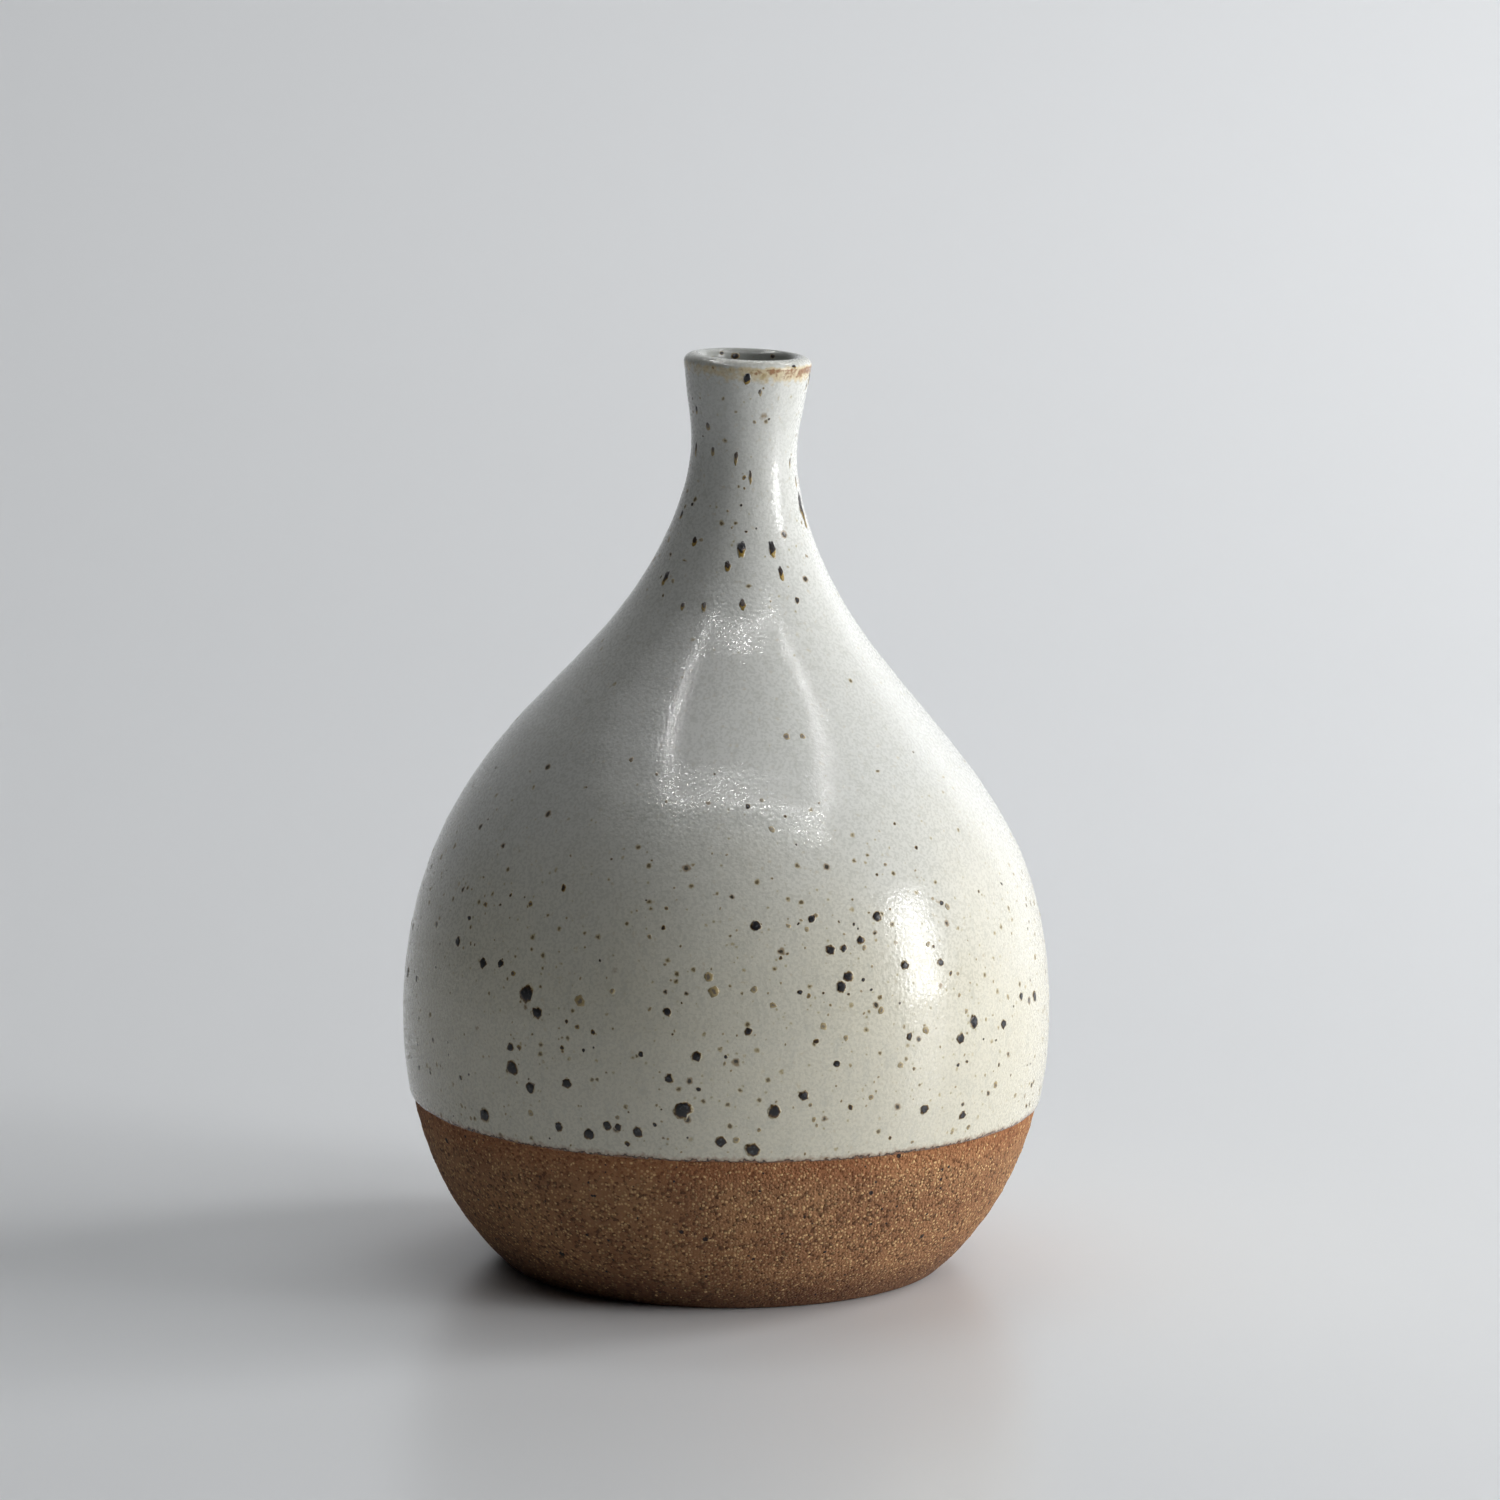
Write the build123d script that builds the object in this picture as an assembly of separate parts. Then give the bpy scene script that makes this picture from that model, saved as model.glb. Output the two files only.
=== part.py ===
from build123d import *
import os
from math import radians, tan

# A ceramic bud vase: a round-bellied stoneware bottle with a narrow neck that leans a little.
# Millimetres, +Z up. The origin is on the table, under the middle of the belly.
# It is one thrown pot, fired in three layers: the clay wall, a glaze coat outside that stops
# short of the foot, and a glaze lining inside. The two glazes meet on the crest of the lip.

# Foot: a trimmed ring with a bevel outside it and a shallow recess under the floor
foot_radius = 32.0
foot_ring_width = 6.0
foot_edge_round = 0.8
recess_depth = 2.0
bevel_width = 3.2
bevel_height = 3.0

# Clay outside, level by level: its radius, its rise above the level before (the heel's is
# above the bevel), and the clay wall there, measured level
heel_radius, heel_rise, heel_wall = 44.1, 15.0, 6.5
belly_radius, belly_rise, belly_wall = 47.1, 22.0, 4.6
upper_belly_radius, upper_belly_rise, upper_belly_wall = 42.3, 22.0, 4.8
shoulder_radius, shoulder_rise, shoulder_wall = 30.3, 18.0, 5.3
neck_root_radius, neck_root_rise, neck_root_wall = 17.5, 15.0, 4.2
neck_radius, neck_rise, neck_wall = 9.1, 16.0, 2.2
waist_radius, waist_rise, waist_wall = 7.3, 10.5, 1.7
flare_radius, flare_rise, flare_wall = 8.5, 8.5, 2.0
lip_radius, lip_rise = 8.9, 3.1

# Lip: a ring that swells outward more than inward, on top of the neck
lip_outer_round = 1.3
lip_inner_round = 0.6
lip_round_height = 0.83

# Floor of the inside: its clay thickness above the recess, and how far its flat part reaches
floor_thickness = 5.5
flat_floor_radius = 24.0

# Glaze
coat_thickness = 0.4
lining_thickness = 0.4
glaze_line_height = 24.7

# Lean: the axis is upright up to lean_start, bends over lean_run, then runs straight to the lip
lean_angle = 1.75
lean_start = 60.0
lean_run = 20.0

# Rings that each smooth surface is drawn through
ring_count = 32

levels = [
    (heel_radius, heel_rise, heel_wall),
    (belly_radius, belly_rise, belly_wall),
    (upper_belly_radius, upper_belly_rise, upper_belly_wall),
    (shoulder_radius, shoulder_rise, shoulder_wall),
    (neck_root_radius, neck_root_rise, neck_root_wall),
    (neck_radius, neck_rise, neck_wall),
    (waist_radius, waist_rise, waist_wall),
    (flare_radius, flare_rise, flare_wall),
    (lip_radius, lip_rise, lip_outer_round + lip_inner_round),
]
bevel_radius = foot_radius + bevel_width
crest_radius = lip_radius - lip_outer_round
floor_height = recess_depth + floor_thickness


def wall_profiles():
    """Outside and inside curves of the clay, with X as radius and Y as height, and the lip level."""
    outer = [(bevel_radius, bevel_height)]
    inner = [(flat_floor_radius, floor_height)]
    height = bevel_height
    for radius, rise, wall in levels:
        height += rise
        outer.append((radius, height))
        inner.append((radius - wall, height))
    return Spline(*outer), Spline(*inner), height


def level_plane(height):
    """Plane square to the pot's axis where the axis passes a height."""
    full_slope = tan(radians(lean_angle))
    bent = min(max(height - lean_start, 0), lean_run)
    straight = max(height - lean_start - lean_run, 0)
    slope = full_slope * bent / lean_run
    across = slope * bent / 2 + full_slope * straight
    return Plane(origin=(across, 0, height), x_dir=(1, 0, -slope), z_dir=(slope, 0, 1))


def measured_level(profile, share, thickness):
    """Width, along a level line, of a layer of some thickness at a share of a profile's length."""
    return thickness / (profile % share).Y


def turned_form(profile, grow=0):
    """Solid inside a profile curve, with its surface moved out square to itself by grow."""
    rings = []
    for step in range(ring_count + 1):
        share = step / ring_count
        point = profile @ share
        rings.append(level_plane(point.Y) * Circle(point.X + measured_level(profile, share, grow)))
    return loft(rings)


def lip_quarter(side, width, height):
    """Quarter of an ellipse from the lip's crest, outward for side 1 and inward for side -1."""
    quadrant = Pos(side * width / 2, height / 2) * Rectangle(width, height)
    return Plane.XZ * Pos(crest_radius, 0) * (Ellipse(width, height) & quadrant)


def lip_ring(section):
    """Ring that a lip section sweeps about the axis, standing on the lip level."""
    return level_plane(lip_level) * revolve(section, Axis.Z)


outside, inside, lip_level = wall_profiles()
clay_form = turned_form(outside)
clay_hollow = turned_form(inside)
glazed_form = turned_form(outside, coat_thickness)
glazed_hollow = turned_form(inside, -lining_thickness)

outer_clay_lip = lip_quarter(1, lip_outer_round, lip_round_height)
inner_clay_lip = lip_quarter(-1, lip_inner_round, lip_round_height)
glazed_lip_height = lip_round_height + coat_thickness
coat_width = measured_level(outside, 1, coat_thickness)
lining_width = measured_level(inside, 1, lining_thickness)
outer_glazed_lip = lip_quarter(1, lip_outer_round + coat_width, glazed_lip_height)
inner_glazed_lip = lip_quarter(-1, lip_inner_round + lining_width, glazed_lip_height)


def make_body():
    """The clay: foot, wall and lip in one thrown piece."""
    foot_section = make_face(
        Polyline((0, 0), (foot_radius, 0), (bevel_radius, bevel_height), (0, bevel_height), close=True)
    )
    foot = revolve(Plane.XZ * foot_section, Axis.Z)
    recess = extrude(Circle(foot_radius - foot_ring_width), recess_depth)
    body = foot + (clay_form - clay_hollow) + lip_ring(outer_clay_lip + inner_clay_lip) - recess
    foot_ring = body.faces().sort_by(Axis.Z)[0]
    return fillet(foot_ring.edges(), foot_edge_round)


def make_coat():
    """The outside glaze, from the glaze line up to the crest of the lip."""
    coat = split(glazed_form - clay_form, Plane.XY.offset(glaze_line_height), keep=Keep.TOP)
    return coat + lip_ring(outer_glazed_lip - outer_clay_lip)


def make_lining():
    """The inside glaze, from the crest of the lip down over the floor."""
    lined_floor = Plane.XY.offset(floor_height + lining_thickness)
    lining = clay_hollow - split(glazed_hollow, lined_floor, keep=Keep.TOP)
    return lining + lip_ring(inner_glazed_lip - inner_clay_lip)


nodes = {
    "stoneware_body": make_body(),
    "outer_glaze": make_coat(),
    "inner_glaze": make_lining(),
}
os.makedirs("parts", exist_ok=True)
for name, shape in nodes.items():
    export_step(shape, f"parts/{name}.step")
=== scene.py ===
"""A ceramic bud vase: bare stoneware foot, speckled glaze outside, glossy lining inside.

Metres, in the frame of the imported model. Every wall is turned by Geometry Nodes from a section
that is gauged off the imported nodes, so the looks keep the design's own form and lean.
"""
import logging
import math
import random
from dataclasses import dataclass
from enum import Enum
from functools import partial
from typing import NamedTuple

import bmesh
import bpy
import numpy as np
from mathutils import Matrix, Vector
from mathutils.bvhtree import BVHTree


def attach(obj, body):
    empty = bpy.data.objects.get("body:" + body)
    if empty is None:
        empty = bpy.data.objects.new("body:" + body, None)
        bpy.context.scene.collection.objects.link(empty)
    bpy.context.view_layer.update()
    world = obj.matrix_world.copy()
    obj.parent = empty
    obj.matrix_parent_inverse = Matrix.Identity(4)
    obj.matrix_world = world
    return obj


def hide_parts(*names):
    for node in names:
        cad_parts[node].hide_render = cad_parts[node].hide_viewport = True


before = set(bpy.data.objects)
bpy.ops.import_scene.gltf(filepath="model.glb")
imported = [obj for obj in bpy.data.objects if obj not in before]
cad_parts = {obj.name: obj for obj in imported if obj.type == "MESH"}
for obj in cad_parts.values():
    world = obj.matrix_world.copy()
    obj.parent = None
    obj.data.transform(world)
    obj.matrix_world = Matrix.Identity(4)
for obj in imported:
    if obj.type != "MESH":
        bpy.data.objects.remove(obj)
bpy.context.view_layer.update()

MM = 0.001
log = logging.getLogger("bud_vase")

# levels and a radius that more than one piece shares, as in the design
GLAZE_LINE = 24.7 * MM
FLOOR_LEVEL = 7.5 * MM
FLAT_FLOOR_RADIUS = 24 * MM

Colour = tuple[float, float, float, float]
Tree = bpy.types.NodeTree
Node = bpy.types.Node
Piece = bpy.types.Object


def linear(hex_code: str) -> Colour:
    """Turns an sRGB hex colour into the linear colour that nodes take.

    Args:
        hex_code: six hex digits after a hash sign.

    Returns:
        Red, green, blue and alpha, linear.
    """
    channels = [int(hex_code[i : i + 2], 16) / 255 for i in (1, 3, 5)]
    curved = [c / 12.92 if c <= 0.04045 else ((c + 0.055) / 1.055) ** 2.4 for c in channels]
    return (*curved, 1.0)


def per_metre(size_mm: float) -> float:
    """Texture scale whose features are size_mm apart."""
    return 1000.0 / size_mm


def feed(node: Node, inputs: dict[str | int, object]) -> None:
    """Sets or links a node's inputs.

    Args:
        node: the node.
        inputs: what each input takes, by name or number: a number, colour, socket or node, which
            gives its first output.
    """
    for key, value in inputs.items():
        if isinstance(value, bpy.types.Node):
            value = value.outputs[0]
        if isinstance(value, bpy.types.NodeSocket):
            node.id_data.links.new(value, node.inputs[key])
        else:
            node.inputs[key].default_value = value


def add_node(tree: Tree, kind: str, *values: object, **settings: object) -> Node:
    """Adds one node with its settings and links.

    Args:
        tree: the node tree that the node joins.
        kind: the node's type name, with its operation after a colon where it has one.
        values: what its inputs take, in order. A dict gives inputs by name instead.
        settings: the node's own properties.

    Returns:
        The new node.
    """
    kind, _, operation = kind.partition(":")
    node = tree.nodes.new(kind)
    if operation:
        node.operation = operation
    for name, value in settings.items():
        setattr(node, name, value)
    for number, value in enumerate(values):
        feed(node, value if isinstance(value, dict) else {number: value})
    return node


# ---------------------------------------------------------------- form


@dataclass(frozen=True)
class LeaningAxis:
    """The pot's axis: upright, then a slow bend, then straight to the lip, as in the design."""

    angle: float = math.radians(1.75)
    start: float = 60 * MM
    run: float = 20 * MM

    def level(self, height: float) -> tuple[Vector, Vector]:
        """Gives the axis point at a height and the direction across the axis there."""
        bent = min(max(height - self.start, 0.0), self.run)
        straight = max(height - self.start - self.run, 0.0)
        slope = math.tan(self.angle) * bent / self.run
        offset = slope * bent / 2 + math.tan(self.angle) * straight
        return Vector((offset, 0, height)), Vector((1, 0, -slope)).normalized()

    def place(self, azimuth: float, radius: float, height: float) -> Vector:
        """Gives a place by its azimuth in degrees from the front, its radius and its level."""
        origin, across = self.level(height)
        turn = math.radians(azimuth)
        return origin + radius * (math.sin(turn) * across - math.cos(turn) * Vector((0, 1, 0)))


class SmoothCurve:
    """A natural cubic curve of radius against level."""

    def __init__(self, levels: list[float], radii: list[float]) -> None:
        """Fits the curve through the radii at rising levels."""
        self.levels, self.radii = np.array(levels), np.array(radii)
        step = np.diff(self.levels)
        slope = np.diff(self.radii) / step
        system, right = np.eye(len(levels)), np.zeros(len(levels))
        for i in range(1, len(levels) - 1):
            system[i, i - 1 : i + 2] = step[i - 1], 2 * (step[i - 1] + step[i]), step[i]
            right[i] = 6 * (slope[i] - slope[i - 1])
        self.bend = np.linalg.solve(system, right)

    def at(self, level: float) -> float:
        """Gives the radius at a level."""
        i = int(np.clip(np.searchsorted(self.levels, level) - 1, 0, len(self.levels) - 2))
        step = self.levels[i + 1] - self.levels[i]
        b = (level - self.levels[i]) / step
        a = 1 - b
        curve = (a**3 - a) * self.bend[i] + (b**3 - b) * self.bend[i + 1]
        return float(a * self.radii[i] + b * self.radii[i + 1] + curve * step * step / 6)

    def slope(self, level: float) -> float:
        """Gives the change of radius for a rise in level."""
        tiny = 0.05 * MM
        return (self.at(level + tiny) - self.at(level - tiny)) / (2 * tiny)


class Side(Enum):
    """The side that a wall is gauged from."""

    OUTSIDE = "outside"
    INSIDE = "inside"


@dataclass(frozen=True)
class Callipers:
    """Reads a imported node's radius, square to the leaning axis."""

    axis: LeaningAxis = LeaningAxis()
    directions: int = 32
    reach: float = 90 * MM

    def gauge(self, node: str, side: Side, low: float, high: float, count: int) -> SmoothCurve:
        """Gauges a wall between two levels.

        Args:
            node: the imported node's name.
            side: the side that the wall is touched from.
            low: the first level.
            high: the last level.
            count: how many levels are read, closer together towards the neck.

        Returns:
            The wall's radius against level.
        """
        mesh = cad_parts[node].data
        corners = [v.co for v in mesh.vertices]
        shape = BVHTree.FromPolygons(corners, [p.vertices for p in mesh.polygons])
        quarter = math.pi / 2
        levels = [low + (high - low) * math.sin(i / (count - 1) * quarter) for i in range(count)]
        return SmoothCurve(levels, [self.radius(shape, side, level) for level in levels])

    def radius(self, shape: BVHTree, side: Side, level: float) -> float:
        """Gives the mean radius of a shape at one level."""
        origin, across = self.axis.level(level)
        found = []
        for i in range(self.directions):
            turn = 2 * math.pi * (i + 0.5) / self.directions
            way = math.cos(turn) * across + math.sin(turn) * Vector((0, 1, 0))
            start, aim = (origin + way * self.reach, -way) if side is Side.OUTSIDE else (origin, way)
            hit = shape.ray_cast(start, aim, self.reach)[0]
            if hit is not None:
                found.append((hit - origin).length)
        return sum(found) / len(found)


class SectionPoint(NamedTuple):
    """One point of a turned section, with what the clay or glaze does there."""

    radius: float
    level: float
    relief: float = 0.0
    edge: float = 0.0
    brow: float = 0.0
    slope: float = 0.0


@dataclass(frozen=True)
class Lip:
    """The rounded lip: a quarter ellipse each way from its crest."""

    level: float = 133.1 * MM
    crest_radius: float = 7.6 * MM
    clay_rise: float = 0.83 * MM
    glazed_rise: float = 1.23 * MM
    brow_width: float = 0.55
    steps: int = 14

    def quarter(self, start_radius: float, rise: float, brow: float = 0.0) -> list[SectionPoint]:
        """Draws a quarter from the lip level up to the crest.

        Args:
            start_radius: the radius that the quarter starts from.
            rise: how high the crest stands over the lip level.
            brow: how much the glaze breaks at the start of the quarter.

        Returns:
            The points, with the crest last.
        """
        width = start_radius - self.crest_radius
        points = []
        for i in range(self.steps + 1):
            turn = i / self.steps * math.pi / 2
            fade = brow * max(0.0, 1 - math.sin(turn) / self.brow_width)
            radius = self.crest_radius + width * math.cos(turn)
            points.append(SectionPoint(radius, self.level + rise * math.sin(turn), brow=fade))
        return points


def spaced(low: float, high: float, step: float) -> list[float]:
    """Evenly spaced levels from low to high, no further apart than step."""
    count = max(1, math.ceil(abs(high - low) / step))
    return [low + (high - low) * i / count for i in range(count + 1)]


def ease(value: float) -> float:
    """Eases from 0 to 1 as the value does, and stays there beyond."""
    value = min(max(value, 0.0), 1.0)
    return value * value * (3 - 2 * value)


def rounded(before: tuple, corner: tuple, after: tuple, reach: float, steps: int = 6) -> list:
    """Rounds a corner of a section.

    Args:
        before: the point ahead of the corner, as radius and level.
        corner: the corner itself.
        after: the point past the corner.
        reach: how far from the corner the rounding starts and ends.
        steps: how many spans the rounding has.

    Returns:
        The rounding's points, as radius and level.
    """
    middle = Vector(corner)
    first = middle + (Vector(before) - middle).normalized() * reach
    last = middle + (Vector(after) - middle).normalized() * reach
    shares = [i / steps for i in range(steps + 1)]
    return [tuple((1 - t) ** 2 * first + 2 * t * (1 - t) * middle + t * t * last) for t in shares]


# ---------------------------------------------------------------- geometry trees


def declare(tree: Tree, sockets: dict[str, str]) -> Node:
    """Gives a geometry tree its output and its named inputs.

    Args:
        tree: the new geometry tree.
        sockets: the kind of each input, by name. The geometry comes first.

    Returns:
        The group's input node.
    """
    tree.interface.new_socket("Geometry", in_out="OUTPUT", socket_type="NodeSocketGeometry")
    for name, kind in sockets.items():
        tree.interface.new_socket(name, in_out="INPUT", socket_type=f"NodeSocket{kind}")
    return add_node(tree, "NodeGroupInput")


def run_tree(name: str, base: bpy.types.Mesh, tree: Tree, values: dict[str, object]) -> Piece:
    """Runs a geometry tree on a mesh and keeps the result as a plain mesh object.

    Args:
        name: the piece's name.
        base: the mesh that the tree starts from.
        tree: the geometry tree.
        values: the value of each of the tree's inputs, by name.

    Returns:
        The finished piece, at the origin and with no modifier.
    """
    maker = bpy.data.objects.new(f"{name}_maker", base)
    bpy.context.scene.collection.objects.link(maker)
    modifier = maker.modifiers.new("make", "NODES")
    modifier.node_group = tree
    for item in tree.interface.items_tree:
        if item.in_out == "INPUT" and item.name in values:
            modifier[item.identifier] = values[item.name]
    evaluated = maker.evaluated_get(bpy.context.evaluated_depsgraph_get())
    mesh = bpy.data.meshes.new_from_object(evaluated)
    bpy.data.objects.remove(maker)
    mesh.name = name
    piece = bpy.data.objects.new(name, mesh)
    bpy.context.scene.collection.objects.link(piece)
    return piece


def face_out(piece: Piece) -> None:
    """Drops loose edges, points every face outwards and shades the piece smooth."""
    work = bmesh.new()
    work.from_mesh(piece.data)
    loose = [edge for edge in work.edges if not edge.link_faces]
    bmesh.ops.delete(work, geom=loose, context="EDGES")
    bmesh.ops.recalc_face_normals(work, faces=work.faces)
    work.to_mesh(piece.data)
    work.free()
    piece.data.polygons.foreach_set("use_smooth", [True] * len(piece.data.polygons))
    piece.data.update()


def thrown_wall_tree() -> Tree:
    """Builds the tree that turns a section about the leaning axis, as a wheel does.

    Returns:
        The geometry tree. Its base mesh is the section, with X as radius and Z as level.
    """
    tree = bpy.data.node_groups.new("thrown_wall", "GeometryNodeTree")
    add = partial(add_node, tree)
    given = declare(
        tree,
        {
            "Section": "Geometry",
            "Columns": "Int",
            "Lean Slope": "Float",
            "Lean Start": "Float",
            "Lean Run": "Float",
            "Ring Height": "Float",
            "Ring Spacing": "Float",
            "Unevenness": "Float",
            "Edge Wave": "Float",
            "Seed": "Float",
            "Material": "Material",
        },
    ).outputs

    # a flat sheet with a row for each point of the section and a column for each step round
    section_points = add("GeometryNodeAttributeDomainSize", given["Section"], component="MESH")
    across = add("ShaderNodeMath:ADD", given["Columns"], 1.0)
    sheet = add("GeometryNodeMeshGrid", 1.0, 1.0, section_points, across)
    index = add("GeometryNodeInputIndex")
    half_past = add("ShaderNodeMath:ADD", index, 0.5)
    row = add("ShaderNodeMath:FLOOR", add("ShaderNodeMath:DIVIDE", half_past, across))
    column = add("ShaderNodeMath:SUBTRACT", index, add("ShaderNodeMath:MULTIPLY", row, across))
    share = add("ShaderNodeMath:DIVIDE", column, given["Columns"])
    turn = add("ShaderNodeMath:MULTIPLY", share, 2 * math.pi)
    cosine, sine = add("ShaderNodeMath:COSINE", turn), add("ShaderNodeMath:SINE", turn)

    # what the section says in this row
    place = add(
        "GeometryNodeSampleIndex",
        {"Geometry": given["Section"], "Value": add("GeometryNodeInputPosition"), "Index": row},
        data_type="FLOAT_VECTOR",
    )
    place = add("ShaderNodeSeparateXYZ", place)
    traits = {}
    for trait in ("relief", "edge", "brow", "slope"):
        named = add("GeometryNodeInputNamedAttribute", {"Name": trait}, data_type="FLOAT")
        inputs = {"Geometry": given["Section"], "Value": named, "Index": row}
        traits[trait] = add("GeometryNodeSampleIndex", inputs, data_type="FLOAT")

    # the glaze line wanders slowly round the pot, with a finer raggedness on top
    waves = []
    for closeness, strength in ((1.1, 3.0), (11.0, 1.0)):
        ring = add("ShaderNodeCombineXYZ", cosine, sine, given["Seed"])
        inputs = {"Vector": ring, "Scale": closeness, "Detail": 3.0}
        centred = add("ShaderNodeMath:SUBTRACT", add("ShaderNodeTexNoise", inputs), 0.5)
        waves.append(add("ShaderNodeMath:MULTIPLY", centred, strength))
    wander = add("ShaderNodeMath:MULTIPLY", add("ShaderNodeMath:ADD", *waves), given["Edge Wave"])
    wander = add("ShaderNodeMath:MULTIPLY", wander, traits["edge"])
    level = add("ShaderNodeMath:ADD", place.outputs["Z"], wander)
    widening = add("ShaderNodeMath:MULTIPLY", traits["slope"], wander)
    radius = add("ShaderNodeMath:ADD", place.outputs["X"], widening)

    # the level's place on the leaning axis
    past = add("ShaderNodeMath:SUBTRACT", level, given["Lean Start"])
    bent = add("ShaderNodeMath:MAXIMUM", past, 0.0)
    bent = add("ShaderNodeMath:MINIMUM", bent, given["Lean Run"])
    straight = add("ShaderNodeMath:SUBTRACT", past, given["Lean Run"])
    straight = add("ShaderNodeMath:MAXIMUM", straight, 0.0)
    slope = add("ShaderNodeMath:MULTIPLY", given["Lean Slope"], bent)
    slope = add("ShaderNodeMath:DIVIDE", slope, given["Lean Run"])
    in_bend = add("ShaderNodeMath:MULTIPLY", add("ShaderNodeMath:MULTIPLY", slope, bent), 0.5)
    beyond = add("ShaderNodeMath:MULTIPLY", given["Lean Slope"], straight)
    offset = add("ShaderNodeMath:ADD", in_bend, beyond)
    stretch = add("ShaderNodeMath:MULTIPLY_ADD", slope, slope, 1.0)
    side = add("ShaderNodeMath:MULTIPLY", radius, cosine)
    side = add("ShaderNodeMath:DIVIDE", side, add("ShaderNodeMath:SQRT", stretch))
    dip = add("ShaderNodeMath:MULTIPLY", slope, side)
    position = add(
        "ShaderNodeCombineXYZ",
        add("ShaderNodeMath:ADD", offset, side),
        add("ShaderNodeMath:MULTIPLY", radius, sine),
        add("ShaderNodeMath:SUBTRACT", level, dip),
    )
    shape = add("GeometryNodeSetPosition", {"Geometry": sheet, "Position": position})
    for trait in ("relief", "edge", "brow"):
        inputs = {"Geometry": shape, "Name": trait, "Value": traits[trait]}
        shape = add("GeometryNodeStoreNamedAttribute", inputs, data_type="FLOAT")
    shape = add("GeometryNodeMergeByDistance", {"Geometry": shape, "Distance": 0.002 * MM})

    # throwing rings: one rising spiral, deeper in some places than in others
    here = add("GeometryNodeInputPosition")
    axes = add("ShaderNodeSeparateXYZ", here).outputs
    around = add("ShaderNodeMath:ARCTAN2", axes["Y"], axes["X"])
    climb = add("ShaderNodeMath:DIVIDE", axes["Z"], given["Ring Spacing"])
    climb = add("ShaderNodeMath:MULTIPLY", climb, 2 * math.pi)
    rings = add("ShaderNodeMath:SINE", add("ShaderNodeMath:ADD", climb, around))
    inputs = {"Vector": here, "Scale": per_metre(24), "Detail": 2.0}
    broad = add("ShaderNodeTexNoise", inputs)
    rings = add("ShaderNodeMath:MULTIPLY", rings, broad)
    rings = add("ShaderNodeMath:MULTIPLY", rings, given["Ring Height"])
    uneven = add("ShaderNodeMath:SUBTRACT", broad, 0.5)
    uneven = add("ShaderNodeMath:MULTIPLY", uneven, given["Unevenness"])
    relief = add("GeometryNodeInputNamedAttribute", {"Name": "relief"}, data_type="FLOAT")
    amount = add("ShaderNodeMath:MULTIPLY", add("ShaderNodeMath:ADD", rings, uneven), relief)
    normal = add("GeometryNodeInputNormal")
    push = add("ShaderNodeVectorMath:SCALE", normal, {"Scale": amount})
    shape = add("GeometryNodeSetPosition", {"Geometry": shape, "Offset": push})
    shape = add("GeometryNodeRealizeInstances", {"Geometry": shape})
    inputs = {"Geometry": shape, "Material": given["Material"]}
    add("NodeGroupOutput", add("GeometryNodeSetMaterial", inputs))
    return tree


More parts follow.
